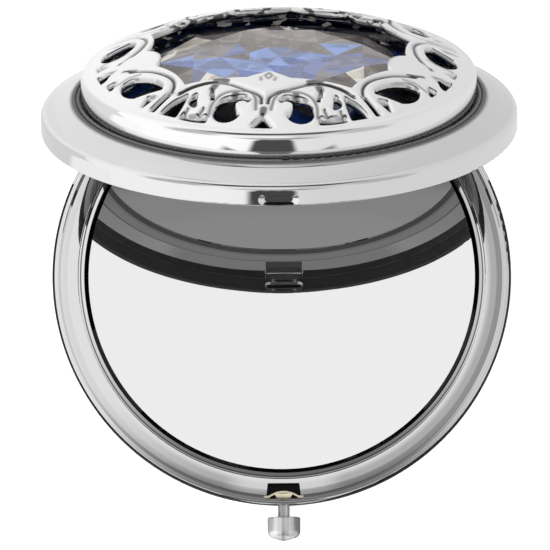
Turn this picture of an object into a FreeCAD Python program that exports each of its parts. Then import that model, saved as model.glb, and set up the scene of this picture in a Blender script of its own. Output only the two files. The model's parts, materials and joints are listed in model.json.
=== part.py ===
import FreeCAD, Part
import math
import os

# Round compact mirror: two metal halves on a rear hinge, a front push latch, a mirror in each
# half and a pierced scrollwork cover over a faceted stone on the lid.
# Millimetres and degrees. The origin is the centre of the base's underside, +Z up,
# the hinge at +Y and the push button at -Y. Every lid piece is drawn closed and then swung open.

V = FreeCAD.Vector
ORIGIN = V(0, 0, 0)
ALONG_X = V(1, 0, 0)
UP = V(0, 0, 1)

# Case halves
case_radius = 35.0
base_height = 5.0
bottom_round = 1.4
edge_round = 0.25
base_edge_round = 0.55
lip_thickness = 0.9
groove_width = 0.4
groove_depth = 0.7
ledge_width = 2.6
ledge_inner_drop = 0.15
ledge_outer_drop = 0.55
ledge_crown = 0.08
lid_ledge_width = 3.65
lid_ledge_fall = 0.75
roof_thickness = 0.4
wall_height = 2.2
wall_round = 0.9
flange_step = 0.4
flange_crown = 0.2
lid_opening = 63.8

# Mirror of the base with its pad and its bezel
mirror_recess = 1.4
glass_thickness = 1.8
pad_thickness = 0.5
bezel_leg = 0.9
bezel_rise = 0.8
bezel_slope = 0.6
dish_depth = 0.31

# Mirror of the lid, set deeper and thinner
lid_mirror_recess = 3.1
lid_glass_thickness = 0.9
lid_pad_thickness = 0.15
lid_bezel_leg = 2.2
lid_bezel_rise = 0.45
lid_bezel_slope = 1.1
lid_dish_depth = 0.5

# Both mirrors
glass_gap = 0.1
pad_margin = 1.3
pad_gap = 0.2
bezel_gap = 0.05
bezel_overlap = 0.65
bezel_edge = 0.1
dish_margin = 0.5

# Hinge
hinge_inset = 0.8
hinge_half_length = 8.0
knuckle_count = 3
knuckle_gap = 0.1
barrel_radius = 1.5
pin_radius = 0.6
pin_clearance = 0.04
leaf_gap = 0.25
leaf_thickness = 0.9
leaf_set_back = 0.3
leaf_fit = 0.05
neck_half_width = 0.9

# Front latch
latch_drop = 2.25
latch_travel = 1.0
shaft_radius = 0.875
shaft_clearance = 0.05
shaft_reach = 1.8
spigot_radius = 0.6
cap_radius = 2.5
cap_length = 3.6
cap_bore_depth = 2.0
cap_edge = 0.25
cap_dome = 0.35
cap_shoulder = 1.1
pocket_inner_half = 2.4
pocket_outer_half = 2.7
pocket_clearance = 0.15
lid_pocket_sink = 0.9
hook_width = 1.6
hook_clearance = 0.15
hook_length = 0.55
hook_rise = 1.4
hook_headroom = 0.6
hook_tip = 0.3
cone_radius = 1.3
nose_overhang = 0.45
nose_clearance = 0.15
spring_thickness = 0.3
spring_height = 2.6
spring_rise = 0.7
spring_half_span = 2.25
spring_foot = 0.7
spring_fit = 0.02
catch_width = 5.8
catch_height = 1.3
catch_bar = 0.3
catch_play = 0.05
catch_web = 0.15
catch_floor_width = 4.0
catch_floor_height = 0.9
catch_mouth_width = 7.2
catch_mouth_height = 1.8
catch_mouth_reach = 0.1

# Ornament on the lid
cover_margin = 6.0
cover_thickness = 1.2
cover_wall = 3.2
shoulder_width = 1.3
shoulder_rise = 1.2
dome_inset = 7.0
dome_fall = 1.5
crown_inset = 18.0
crown_clearance = 0.95
bead_gap = 0.2
bead_width = 0.45
bead_rise = 0.65
bead_groove = 0.3
groove_floor = 0.1
cover_turn = -5.0
scroll_unit = 1.0
tape_thickness = 0.15
tray_thickness = 0.65
tray_gap = 0.2
cement_thickness = 0.2
foil_thickness = 0.2
film_margin = 0.4
stone_gap = 2.8
stone_height = 4.95
girdle_height = 1.0
table_inset = 12.6
star_inset = 7.4
facet_count = 8

# Levels and radii that follow from the sizes above
seam = base_height
lip_inner = case_radius - lip_thickness
ledge_outer = lip_inner - groove_width
well_radius = ledge_outer - ledge_width
glass_back = mirror_recess + glass_thickness
well_depth = glass_back + pad_thickness
lid_well_radius = lip_inner - lid_ledge_width
lid_ledge_depth = hook_rise + hook_headroom
lid_pocket_depth = lid_ledge_depth + lid_pocket_sink
lid_glass_back = lid_mirror_recess + lid_glass_thickness
lid_well_depth = lid_glass_back + lid_pad_thickness
seat = seam + lid_glass_back + roof_thickness
tray_seat = seat + lid_pad_thickness
hinge_y = case_radius - hinge_inset
leaf_reach = barrel_radius + leaf_gap
notch_depth = leaf_reach + leaf_thickness
latch_height = seam - latch_drop
hook_face = lip_inner - hook_clearance
hook_back = hook_face - hook_length
spring_bend = (spring_half_span ** 2 + spring_rise ** 2) / (2 * spring_rise)
spring_hollow = math.sqrt(spring_bend ** 2 - cone_radius ** 2) - spring_bend + spring_rise
spring_seat = hook_back - spring_fit - spring_thickness + spring_hollow
pocket_inner = spring_seat - spring_rise - latch_travel - pocket_clearance
pocket_depth = latch_drop + cone_radius + pocket_clearance
cover_radius = case_radius - cover_margin
tray_radius = cover_radius - cover_thickness - tray_gap
tray_bottom = tray_seat + tape_thickness
cement_bottom = tray_bottom + tray_thickness
foil_bottom = cement_bottom + cement_thickness
stone_bottom = foil_bottom + foil_thickness
stone_top = stone_bottom + stone_height
stone_radius = cover_radius - cover_thickness - stone_gap
film_radius = stone_radius * math.cos(math.pi / facet_count / 2) - film_margin
crown_height = stone_top + crown_clearance + cover_thickness
dome_height = crown_height - dome_fall
CLEAR = case_radius


def bend(radius, height, bend_radius, angle):
    """The point of a rounded corner at an angle about its centre."""
    turn = math.radians(angle)
    return (radius + bend_radius * math.cos(turn), height + bend_radius * math.sin(turn))


def half_way(radius, rise):
    """How far a shallow ball-shaped cap falls from its top at half its radius."""
    ball = (radius ** 2 + rise ** 2) / (2 * rise)
    return ball - math.sqrt(ball ** 2 - radius ** 2 / 4)


def outline(place, start, *steps):
    """A closed wire. A step is a point, or a pair of points for an arc through the first one."""
    edges = []
    last = place(*start)
    for step in steps + (start,):
        if isinstance(step[0], tuple):
            via, end = place(*step[0]), place(*step[1])
            edges.append(Part.Arc(last, via, end).toShape())
        else:
            end = place(*step)
            if end.distanceToPoint(last) > 1e-6:
                edges.append(Part.LineSegment(last, end).toShape())
        last = end
    return Part.Wire(edges)


def section(radius, height):
    return V(radius, 0, height)


def turned(start, *steps):
    """A body of revolution about Z from its half section in radius and height."""
    return Part.Face(outline(section, start, *steps)).revolve(ORIGIN, UP, 360)


def disc(radius, bottom, thickness):
    return Part.makeCylinder(radius, thickness, V(0, 0, bottom))


def block(x0, x1, y0, y1, z0, z1):
    return Part.makeBox(x1 - x0, y1 - y0, z1 - z0, V(x0, y0, z0))


def plan(x, reach):
    """A point seen from above, by its distance in front of the centre."""
    return V(x, -reach, 0)


def upright(wire, bottom, top):
    """A prism over a flat outline at height zero."""
    prism = Part.Face(wire).extrude(V(0, 0, top - bottom))
    prism.translate(V(0, 0, bottom))
    return prism


def to_front(shape):
    """Lay a body turned about Z along the latch axis, its heights becoming reach to the front."""
    shape.rotate(ORIGIN, ALONG_X, 90)
    shape.translate(V(0, 0, latch_height))
    return shape


def facing_down(shape):
    """The same form in the other half of the case, mirrored at the seam."""
    return shape.mirror(V(0, 0, seam), UP)


def swung(shape):
    """A lid piece turned about the hinge from closed to the rest opening."""
    return shape.copy().rotate(V(0, hinge_y, seam), ALONG_X, -lid_opening)


# Case halves. Each is hollowed for its mirror and its ledge inside the lip.

def base_hollow():
    ledge_middle = (well_radius + ledge_outer) / 2
    ledge_drop = (ledge_inner_drop + ledge_outer_drop) / 2 - ledge_crown
    return turned(
        (0, seam - well_depth),
        (well_radius, seam - well_depth),
        (well_radius, seam - ledge_inner_drop),
        ((ledge_middle, seam - ledge_drop), (ledge_outer, seam - ledge_outer_drop)),
        (ledge_outer, seam - groove_depth),
        (lip_inner, seam - groove_depth),
        (lip_inner, seam + CLEAR),
        (0, seam + CLEAR),
    )


def glass_radius(well, leg):
    return well - bezel_gap - leg - glass_gap


def lid_hollow():
    """The same room seen from the lid: recess for the pad, shelf for the glass, sloping ledge."""
    pad_room = glass_radius(lid_well_radius, lid_bezel_leg) - pad_margin + pad_gap
    return turned(
        (0, seam - lid_well_depth),
        (pad_room, seam - lid_well_depth),
        (pad_room, seam - lid_glass_back),
        (lid_well_radius, seam - lid_glass_back),
        (lid_well_radius, seam - lid_ledge_depth - lid_ledge_fall),
        (lip_inner, seam - lid_ledge_depth),
        (lip_inner, seam + CLEAR),
        (0, seam + CLEAR),
    )


def latch_pocket(depth):
    """The room in the ledge behind the lip where the latch works, wider towards the front."""
    corners = outline(
        plan,
        (-pocket_inner_half, pocket_inner),
        (pocket_inner_half, pocket_inner),
        (pocket_outer_half, lip_inner),
        (-pocket_outer_half, lip_inner),
    )
    return upright(corners, seam - depth, seam + CLEAR)


def hinge_notch():
    half = hinge_half_length + leaf_fit
    return block(-half, half, hinge_y - leaf_reach, CLEAR * 2, seam - notch_depth, seam + CLEAR)


def base_shell():
    edge_centre = case_radius - base_edge_round
    form = turned(
        (0, 0),
        (case_radius - bottom_round, 0),
        (bend(case_radius - bottom_round, bottom_round, bottom_round, -45), (case_radius, bottom_round)),
        (case_radius, seam - base_edge_round),
        (bend(edge_centre, seam - base_edge_round, base_edge_round, 45), (edge_centre, seam)),
        (0, seam),
    )
    shaft_hole = to_front(disc(shaft_radius + shaft_clearance, hook_face, CLEAR))
    foot_reach = spring_half_span + spring_foot + leaf_fit
    foot_slot = block(
        -foot_reach,
        foot_reach,
        -(spring_seat + spring_thickness + spring_fit),
        -(spring_seat - spring_fit),
        seam - pocket_depth,
        seam + CLEAR,
    )
    return form.cut([base_hollow(), latch_pocket(pocket_depth), hinge_notch(), shaft_hole, foot_slot])


def lid_form():
    """The lid's outside: wall, convex flange, groove, fine bead and the seats of the ornament."""
    bead_inner = cover_radius + bead_gap
    bead_outer = bead_inner + bead_width
    bead_middle = (bead_inner + bead_outer) / 2
    bead_shoulder = seat + bead_rise - bead_width / 2
    flange_inner = bead_outer + bead_groove
    flange_outer = case_radius - wall_round
    flange_foot = seam + wall_height + wall_round
    flange_top = seat + flange_step
    flange_middle = ((flange_inner + flange_outer) / 2, (flange_foot + flange_top) / 2 + flange_crown)
    return turned(
        (0, seam),
        (case_radius - edge_round, seam),
        (bend(case_radius - edge_round, seam + edge_round, edge_round, -45), (case_radius, seam + edge_round)),
        (case_radius, seam + wall_height),
        (bend(flange_outer, seam + wall_height, wall_round, 45), (flange_outer, flange_foot)),
        (flange_middle, (flange_inner, flange_top)),
        (flange_inner, seat + groove_floor),
        (bead_outer, seat + groove_floor),
        (bead_outer, bead_shoulder),
        ((bead_middle, seat + bead_rise), (bead_inner, bead_shoulder)),
        (bead_inner, seat),
        (tray_radius, seat),
        (tray_radius, tray_seat),
        (0, tray_seat),
    )


def catch_outline(reach, width, height):
    """A pill shape across the front, level with the catch."""
    half = (width - height) / 2
    end = height / 2
    middle = seam + catch_bar + catch_height / 2

    def front(x, height):
        return V(x, -reach, height)

    return outline(
        front,
        (-half, middle - end),
        (half, middle - end),
        ((half + end, middle), (half, middle + end)),
        (-half, middle + end),
        ((-half - end, middle), (-half, middle - end)),
    )


def catch_hollows():
    """The hollow that the hook enters from inside, and the one with sloped sides outside the web."""
    end = hook_face + nose_overhang + catch_play
    entry = Part.Face(catch_outline(hook_back, catch_width, catch_height))
    floor = catch_outline(end + catch_web, catch_floor_width, catch_floor_height)
    mouth = catch_outline(case_radius + catch_mouth_reach, catch_mouth_width, catch_mouth_height)
    return [entry.extrude(V(0, hook_back - end, 0)), Part.makeLoft([floor, mouth], True)]


def lid_shell():
    inside = [lid_hollow(), latch_pocket(lid_pocket_depth), hinge_notch()]
    return lid_form().cut([facing_down(room) for room in inside] + catch_hollows())


# Mirrors. Both are drawn facing up, the lid's too.

def mirror(radius, recess, thickness, dish):
    """A glass with a shallow hollow face, which magnifies."""
    rim = seam - recess
    dish_radius = radius - dish_margin
    return turned(
        (0, rim - thickness),
        (radius, rim - thickness),
        (radius, rim),
        (dish_radius, rim),
        ((dish_radius / 2, rim - dish + half_way(dish_radius, dish)), (0, rim - dish)),
    )


def bezel(well, floor, leg, recess, rise, slope):
    """The ring that holds the glass: a leg on the well floor and a lip over the glass edge."""
    face = seam - recess
    outer = well - bezel_gap
    inner = outer - leg
    lip = inner - bezel_overlap
    return turned(
        (inner, seam - floor),
        (outer, seam - floor),
        (outer, face + rise - bezel_edge),
        (outer - bezel_edge, face + rise),
        (lip + slope, face + rise),
        (lip, face + bezel_edge),
        (lip, face),
        (inner, face),
    )


def base_mirror_pieces():
    radius = glass_radius(well_radius, bezel_leg)
    return {
        "base_mirror": mirror(radius, mirror_recess, glass_thickness, dish_depth),
        "base_mirror_pad": disc(radius - pad_margin, seam - well_depth, pad_thickness),
        "base_mirror_bezel": bezel(well_radius, well_depth, bezel_leg, mirror_recess, bezel_rise, bezel_slope),
    }


def lid_mirror_pieces():
    radius = glass_radius(lid_well_radius, lid_bezel_leg)
    pieces = {
        "lid_mirror": mirror(radius, lid_mirror_recess, lid_glass_thickness, lid_dish_depth),
        "lid_mirror_pad": disc(radius - pad_margin, seam - lid_well_depth, lid_pad_thickness),
        "lid_mirror_bezel": bezel(
            lid_well_radius, lid_glass_back, lid_bezel_leg, lid_mirror_recess, lid_bezel_rise, lid_bezel_slope
        ),
    }
    return {name: facing_down(shape) for name, shape in pieces.items()}


# Hinge

def rod(radius, x0, x1):
    return Part.makeCylinder(radius, x1 - x0, V(x0, hinge_y, seam), ALONG_X)


def hinge_leaf(first, bore_radius):
    """A leaf bedded in the base's notch with every second knuckle, counted from the first."""
    low = seam - notch_depth
    inner = hinge_y - leaf_reach + leaf_fit
    leaf = block(-hinge_half_length, hinge_half_length, inner, CLEAR * 2, low, low + leaf_thickness)
    leaf = leaf.common(disc(case_radius - leaf_set_back, 0, seam))
    pitch = (2 * hinge_half_length + knuckle_gap) / knuckle_count
    for index in range(first, knuckle_count, 2):
        x0 = index * pitch - hinge_half_length
        x1 = x0 + pitch - knuckle_gap
        neck = block(x0, x1, hinge_y - neck_half_width, hinge_y + neck_half_width / 2, low, seam)
        neck = neck.common(disc(case_radius - leaf_set_back, 0, seam))
        leaf = leaf.fuse([neck, rod(barrel_radius, x0, x1)])
    return leaf.cut(rod(bore_radius, -CLEAR, CLEAR)).removeSplitter()


def hinge_pin():
    return rod(pin_radius, -hinge_half_length, hinge_half_length)


# Latch. Reaches are distances in front of the case's centre.

def latch_spring():
    low = spring_seat
    high = low + spring_thickness
    foot = spring_half_span + spring_foot
    strip = outline(
        plan,
        (-foot, low),
        (-foot, high),
        (-spring_half_span, high),
        ((0, high - spring_rise), (spring_half_span, high)),
        (foot, high),
        (foot, low),
        (spring_half_span, low),
        ((0, low - spring_rise), (-spring_half_span, low)),
    )
    bottom = seam - pocket_depth
    return upright(strip, bottom, bottom + spring_height)


def latch_hook():
    """A flared collar on the shaft's end with a blade of the same plan, whose nose overhangs the lip."""
    collar = turned((0, hook_back), (cone_radius, hook_back), (shaft_radius, hook_face), (0, hook_face))
    top = seam + hook_rise
    nose = seam + catch_bar + nose_clearance

    def side(reach, height):
        return V(-cone_radius, -reach, height)

    blade = outline(
        side,
        (hook_back, latch_height),
        (hook_face, latch_height),
        (hook_face, nose),
        (hook_face + nose_overhang, nose),
        (hook_face + nose_overhang, nose + hook_tip),
        (hook_face, top),
        (hook_back, top),
    )
    nose_half = hook_width / 2
    nose_end = hook_face + nose_overhang
    bulge_half = nose_half + (cone_radius - nose_half) * math.cos(math.pi / 4)
    bulge_reach = hook_back + hook_length * math.sin(math.pi / 4)
    flare = outline(
        plan,
        (-cone_radius, hook_back),
        (cone_radius, hook_back),
        ((bulge_half, bulge_reach), (nose_half, hook_face)),
        (nose_half, nose_end),
        (-nose_half, nose_end),
        (-nose_half, hook_face),
        ((-bulge_half, bulge_reach), (-cone_radius, hook_back)),
    )
    wide = Part.Face(blade).extrude(V(cone_radius * 2, 0, 0))
    hook = to_front(collar).fuse(wide.common(upright(flare, latch_height, top)))
    return hook.cut(to_front(disc(spigot_radius, 0, CLEAR))).removeSplitter()


def latch_shaft():
    end = case_radius + shaft_reach + cap_bore_depth
    return to_front(
        turned(
            (0, hook_back),
            (spigot_radius, hook_back),
            (spigot_radius, hook_face),
            (shaft_radius, hook_face),
            (shaft_radius, end),
            (0, end),
        )
    )


def push_button_cap():
    near = case_radius + shaft_reach
    far = near + cap_length
    shoulder = far - cap_dome
    dome_radius = cap_radius - cap_shoulder
    return to_front(
        turned(
            (0, near + cap_bore_depth),
            (shaft_radius, near + cap_bore_depth),
            (shaft_radius, near),
            (cap_radius - cap_edge, near),
            (bend(cap_radius - cap_edge, near + cap_edge, cap_edge, -45), (cap_radius, near + cap_edge)),
            (cap_radius, shoulder - cap_shoulder),
            (
                bend(dome_radius, shoulder - cap_shoulder, cap_shoulder, 45),
                (dome_radius, shoulder),
            ),
            ((dome_radius / 2, far - half_way(dome_radius, cap_dome)), (0, far)),
        )
    )


# Ornament. Scrollwork points are an angle from a motif's own axis and an inset from the cover's
# rim in scroll units. The cover has five motifs, each mirrored about its axis.

scroll_axes = (0,)
leaf_axes = (72, 144, 216, 288)
motif_half = 180 / len(scroll_axes + leaf_axes)

cusp = (motif_half, 8.9)
scroll_edge = (((25, 12.1), (12.4, 13.6)), ((7.5, 15.0), (0, 16.7)))
leaf_edge = (((24, 10.5), (11, 10.1)), ((5.5, 11.0), (0, 11.4)))

scroll_triangle = ((-2.8, 2.1), (2.8, 2.1), (0, 3.9))
scroll_openings = (
    (
        (8.2, 4.2),
        ((12.4, 2.7), (16.6, 5.0)),
        ((14.8, 7.2), (11.4, 7.6)),
        ((8.4, 8.2), (5.6, 7.5)),
        (6.2, 7.0),
        ((9.0, 7.2), (10.2, 6.1)),
        ((10.0, 5.1), (8.2, 4.2)),
    ),
    ((30.3, 6.6), ((29.1, 4.6), (28.5, 2.4)), (33.4, 2.4), ((32.6, 4.6), (30.3, 6.6))),
    ((18.0, 2.3), ((22.0, 2.2), (26.3, 2.3)), (26.1, 2.9), ((22.5, 2.8), (18.3, 3.2))),
    ((27.0, 7.1), ((27.6, 5.8), (24.4, 4.7)), ((25.1, 6.0), (27.0, 7.1))),
    ((22.6, 8.7), ((20.8, 7.7), (19.2, 6.7)), (20.0, 6.6), ((21.4, 7.6), (22.6, 8.7))),
)
leaf_triangle = ((-3.0, 2.4), (3.0, 2.4), (0, 4.8))
leaf_openings = (
    (
        (29.0, 6.3),
        (23.4, 3.4),
        ((17.5, 3.1), (12.6, 4.2)),
        ((12.5, 5.4), (14.8, 6.5)),
        ((21.0, 7.4), (27.0, 7.2)),
    ),
    ((7.8, 3.8), (7.4, 2.7), (10.8, 2.6)),
    ((30.8, 4.8), (28.4, 4.2), (29.9, 2.5)),
    ((35.2, 6.5), (33.9, 6.5), (34.0, 2.4), (35.1, 2.4)),
)


def scroll_point(axis, side):
    """Places the points of one motif, on either side of its axis."""

    def place(angle, inset):
        turn = math.radians(270 + cover_turn + axis + side * angle)
        reach = cover_radius - inset * scroll_unit
        return V(reach * math.cos(turn), reach * math.sin(turn), 0)

    return place


def motif_edge(half_edge):
    """One motif's arcs along the cover's inner edge, from cusp to cusp across its axis."""
    steps = list(half_edge)
    ends = [cusp] + [end for via, end in half_edge]
    for (via, end), before in zip(reversed(half_edge), reversed(ends[:-1])):
        steps.append(((-via[0], via[1]), (-before[0], before[1])))
    return steps


def cover_middle():
    """The open middle of the cover, bounded by the motifs' scalloped inner edges."""
    edges = []
    for axis in sorted(scroll_axes + leaf_axes):
        place = scroll_point(axis, -1)
        last = place(*cusp)
        for via, end in motif_edge(scroll_edge if axis in scroll_axes else leaf_edge):
            edges.append(Part.Arc(last, place(*via), place(*end)).toShape())
            last = place(*end)
    return Part.Wire(Part.sortEdges(edges)[0])


def cover_form(inset):
    """The cover's domed form, or its inner form at the thickness of the metal."""
    rim = cover_radius - inset
    shoulder = rim - shoulder_width
    foot = seat + cover_wall - inset
    eaves = foot + shoulder_rise
    return turned(
        (0, seat),
        (rim, seat),
        (rim, foot),
        (bend(shoulder, foot, shoulder_width, 40), (shoulder, eaves)),
        ((cover_radius - dome_inset, dome_height - inset), (cover_radius - crown_inset, crown_height - inset)),
        (0, crown_height - inset),
    )


def filigree_cover():
    wires = [cover_middle()]
    for axes, triangle, openings in (
        (scroll_axes, scroll_triangle, scroll_openings),
        (leaf_axes, leaf_triangle, leaf_openings),
    ):
        for axis in axes:
            wires.append(outline(scroll_point(axis, 1), *triangle))
            for side in (1, -1):
                wires += [outline(scroll_point(axis, side), *opening) for opening in openings]
    piercings = [upright(wire, seat + cover_wall / 2, seat + CLEAR) for wire in wires]
    return cover_form(0).cut([cover_form(cover_thickness)] + piercings)


def stone_ring(radius, height, phase):
    """Corners of one ring of facets, the phase counted in half facets."""
    corners = []
    for index in range(facet_count):
        turn = math.pi * (2 * index + phase) / facet_count
        corners.append(V(radius * math.cos(turn), radius * math.sin(turn), height))
    return corners


def stone():
    """A flat-backed brilliant: table, stars, kites, girdle triangles and a plain girdle."""
    half = math.cos(math.pi / facet_count)
    table_radius = (stone_radius - table_inset) / half
    star_radius = stone_radius - star_inset
    girdle = stone_bottom + girdle_height
    fall = (star_radius * half - table_radius) / (stone_radius - table_radius)
    star_height = stone_top - (stone_top - girdle) * fall
    table = stone_ring(table_radius, stone_top, 1)
    stars = stone_ring(star_radius, star_height, 2)
    mains = stone_ring(stone_radius, girdle, 1)
    breaks = stone_ring(stone_radius, girdle, 2)
    facets = [table]
    rim = []
    for index in range(facet_count):
        after = (index + 1) % facet_count
        facets.append([table[index], stars[index], table[after]])
        facets.append([table[index], stars[index - 1], mains[index], stars[index]])
        facets.append([stars[index], mains[index], breaks[index]])
        facets.append([stars[index], breaks[index], mains[after]])
        rim += [mains[index], breaks[index]]
    back = [V(corner.x, corner.y, stone_bottom) for corner in rim]
    facets.append(back)
    for index in range(len(rim)):
        facets.append([rim[index - 1], rim[index], back[index], back[index - 1]])
    faces = [Part.Face(Part.makePolygon(facet + facet[:1])) for facet in facets]
    solid = Part.makeSolid(Part.makeShell(faces))
    solid.fix(1e-6, 1e-6, 1e-6)
    return solid


# Every node, one file each

base_nodes = {
    "base_shell": base_shell(),
    **base_mirror_pieces(),
    "base_hinge_leaf": hinge_leaf(0, pin_radius),
    "hinge_pin": hinge_pin(),
    "latch_spring": latch_spring(),
}
latch_nodes = {
    "latch_hook": latch_hook(),
    "latch_shaft": latch_shaft(),
    "push_button_cap": push_button_cap(),
}
lid_nodes = {
    "lid_shell": lid_shell(),
    **lid_mirror_pieces(),
    "lid_hinge_leaf": facing_down(hinge_leaf(1, pin_radius + pin_clearance)),
    "ornament_tape": disc(tray_radius, tray_seat, tape_thickness),
    "ornament_tray": disc(tray_radius, tray_bottom, tray_thickness),
    "stone_cement": disc(film_radius, cement_bottom, cement_thickness),
    "stone_foil": disc(film_radius, foil_bottom, foil_thickness),
    "stone": stone(),
    "filigree_cover": filigree_cover(),
}
nodes = {**base_nodes, **latch_nodes}
nodes.update({name: swung(shape) for name, shape in lid_nodes.items()})

os.makedirs("parts", exist_ok=True)
for name, shape in nodes.items():
    shape.exportStep("parts/" + name + ".step")
    print(name, "solids", len(shape.Solids), "valid", shape.isValid(), "volume", round(shape.Volume, 2))
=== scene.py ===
# %% [markdown]
# # A compact mirror on a white table
#
# This lesson dresses a finished construction model for its portrait. Case, mirrors, hinge and latch
# arrive as solids at their true size, and none of them is moved. Made here are the light, the finishes,
# the cast scrollwork of the lid and the stone under it.

# %% Load the frame and measure it
import json
import math

import bmesh
import bpy
import numpy as np
from mathutils import Matrix, Vector


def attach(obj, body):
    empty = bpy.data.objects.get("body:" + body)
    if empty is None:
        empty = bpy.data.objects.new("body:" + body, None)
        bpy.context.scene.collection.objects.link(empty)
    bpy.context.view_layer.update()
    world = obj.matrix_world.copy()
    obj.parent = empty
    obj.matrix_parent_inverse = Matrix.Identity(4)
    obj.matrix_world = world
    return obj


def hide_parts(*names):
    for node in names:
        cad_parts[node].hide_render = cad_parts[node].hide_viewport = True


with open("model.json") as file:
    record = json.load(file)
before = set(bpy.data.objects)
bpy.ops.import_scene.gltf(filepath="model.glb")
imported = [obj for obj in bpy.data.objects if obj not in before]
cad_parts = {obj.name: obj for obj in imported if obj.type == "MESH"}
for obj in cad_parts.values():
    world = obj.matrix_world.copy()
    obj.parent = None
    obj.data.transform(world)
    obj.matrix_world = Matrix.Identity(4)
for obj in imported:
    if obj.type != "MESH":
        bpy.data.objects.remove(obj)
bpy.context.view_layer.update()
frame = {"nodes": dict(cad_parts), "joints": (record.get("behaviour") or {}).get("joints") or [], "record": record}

mm = 0.001
joints = {joint["name"]: joint for joint in frame["joints"]}
hinge_axis = Vector(joints["lid_hinge"]["pos_m"])
opening = -math.radians(joints["lid_hinge"]["range_deg"][0])


def put_in_scene(name, data):
    """Makes an object of some data and links it to the scene."""
    made = bpy.data.objects.new(name, data)
    bpy.context.scene.collection.objects.link(made)
    return made


print("lid stands open by", round(math.degrees(opening), 1), "degrees")

# %% [markdown]
# ## The camera
#
# The picture is taken from far away and almost straight above, with a long lens that keeps the circles
# nearly free of perspective. A Track To constraint could aim the camera, but it leaves the roll to
# chance, so the turn is written as three small rotations and the place follows from it.

# %% Aim a long lens from above
image_side = 550
sensor_mm = 36.0
camera_distance = 0.800
focal_pixels = 5238.27
lean_forward = math.radians(-5.594)
step_aside = math.radians(-0.295)
roll = math.radians(0.538)
aim = Vector((0, 0, 0.0036))
lens_axis_pixel = (281.71, 276.11)

turn = Matrix.Identity(3)
for angle, axis in ((roll, "Z"), (step_aside, "Y"), (lean_forward, "X")):
    turn = turn @ Matrix.Rotation(angle, 3, axis)
eye = aim + turn.transposed() @ Vector((0, 0, camera_distance))
camera_data = bpy.data.cameras.new("camera")
camera_data.sensor_width = sensor_mm
camera_data.lens = focal_pixels / image_side * sensor_mm
camera_data.shift_x = (image_side / 2 - lens_axis_pixel[0]) / image_side
camera_data.shift_y = (lens_axis_pixel[1] - image_side / 2) / image_side
camera = put_in_scene("camera", camera_data)
camera.matrix_world = Matrix.Translation(eye) @ turn.transposed().to_4x4()
bpy.context.scene.camera = camera
print("camera at", [round(v, 3) for v in eye], "lens", round(camera_data.lens, 1), "mm")

# %% [markdown]
# ## Shader maths in plain Python
#
# Node trees are easier to read as sums than as links. A Wire wraps one socket, and adding or
# multiplying wires adds Math nodes. A Tree makes any other node from its kind, sockets and settings, and
# it serves the world and Geometry Nodes as well as the materials.

# %% Wires and trees
class Wire:
    """One output socket that takes part in Python sums."""

    def __init__(self, tree, socket):
        self.tree = tree
        self.socket = socket

    def __add__(self, other):
        return self.tree.maths("ADD", self, other)

    def __sub__(self, other):
        return self.tree.maths("SUBTRACT", self, other)

    def __rsub__(self, other):
        return self.tree.maths("SUBTRACT", other, self)

    def __mul__(self, other):
        return self.tree.maths("MULTIPLY", self, other)

    def __truediv__(self, other):
        return self.tree.maths("DIVIDE", self, other)

    __radd__ = __add__
    __rmul__ = __mul__


class Tree:
    """Builds the nodes of one material, of the world or of a modifier."""

    def __init__(self, tree):
        self.nodes = tree.nodes
        self.links = tree.links
        self.nodes.clear()

    def node(self, kind, sockets=None, settings=None, out=0):
        """One node, of the shader family unless its kind names another. Returns an output."""
        made = self.nodes.new(kind if "Node" in kind else "ShaderNode" + kind)
        for name, value in (settings or {}).items():
            setattr(made, name, value)
        for key, value in (sockets or {}).items():
            socket = self.find(made, key)
            if isinstance(value, Wire):
                self.links.new(value.socket, socket)
            else:
                socket.default_value = value
        return Wire(self, made.outputs[out]) if len(made.outputs) else made

    @staticmethod
    def find(made, key):
        """An input by its number, its identifier or its name."""
        if isinstance(key, int):
            return made.inputs[key]
        named = [s for s in made.inputs if s.identifier == key]
        return named[0] if named else made.inputs[key]

    def maths(self, operation, *values):
        return self.node("Math", dict(enumerate(values)), {"operation": operation})

    def vectors(self, operation, *values, out=0):
        return self.node("VectorMath", dict(enumerate(values)), {"operation": operation}, out)

    def split(self, vector):
        """The three parts of a vector."""
        return [self.node("SeparateXYZ", {"Vector": vector}, out=i) for i in range(3)]

    def smooth(self, value, low, high):
        """0 below the low value, 1 above the high one, with a soft change between."""
        sockets = {"Value": value, "From Min": low, "From Max": high}
        return self.node("MapRange", sockets, {"interpolation_type": "SMOOTHSTEP"})

    def window(self, value, low, high, soft):
        """1 between two values, with soft sides."""
        rise = self.smooth(value, low - soft, low + soft)
        return rise * (1 - self.smooth(value, high - soft, high + soft))

    def mix(self, factor, first, second):
        sockets = {"Factor_Float": factor, "A_Color": first, "B_Color": second}
        return self.node("Mix", sockets, {"data_type": "RGBA"}, 2)


def grey(value):
    return (value, value, value, 1)


def painted(name):
    """A new material and the tree that paints it."""
    material = bpy.data.materials.new(name)
    material.use_nodes = True
    return material, Tree(material.node_tree)


tiny = 1e-6
print("shader kit ready")

# %% [markdown]
# ## The studio
#
# Polished plating shows the room, so the room is built for it: a bright wall on one side, a greyer one on
# the other, dark cards in front, a wide card with grey wings behind, a grey sail overhead, and a round
# white card where the base mirror looks. Cards could be planes, but painted on the world as soft windows
# in height and bearing they are free of noise and never get into the picture. Bearing 0 is the front, 90
# the right, and height 90 is the zenith. The camera itself sees plain white.

# %% Paint the room
world = bpy.data.worlds.new("studio")
world.use_nodes = True
bpy.context.scene.world = world
room = Tree(world.node_tree)
direction = room.node("TexCoord")
x, y, z = room.split(direction)
to_degrees = 180 / math.pi
height = room.maths("ARCSINE", z) * to_degrees
bearing = room.maths("ARCTAN2", x, y * -1) * to_degrees
from_back = room.maths("ARCTAN2", x, y) * to_degrees
across_span = (-0.6, 0.5)
behind_span = (0.35, 0.9)
before_span = (-0.45, -0.85)


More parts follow.
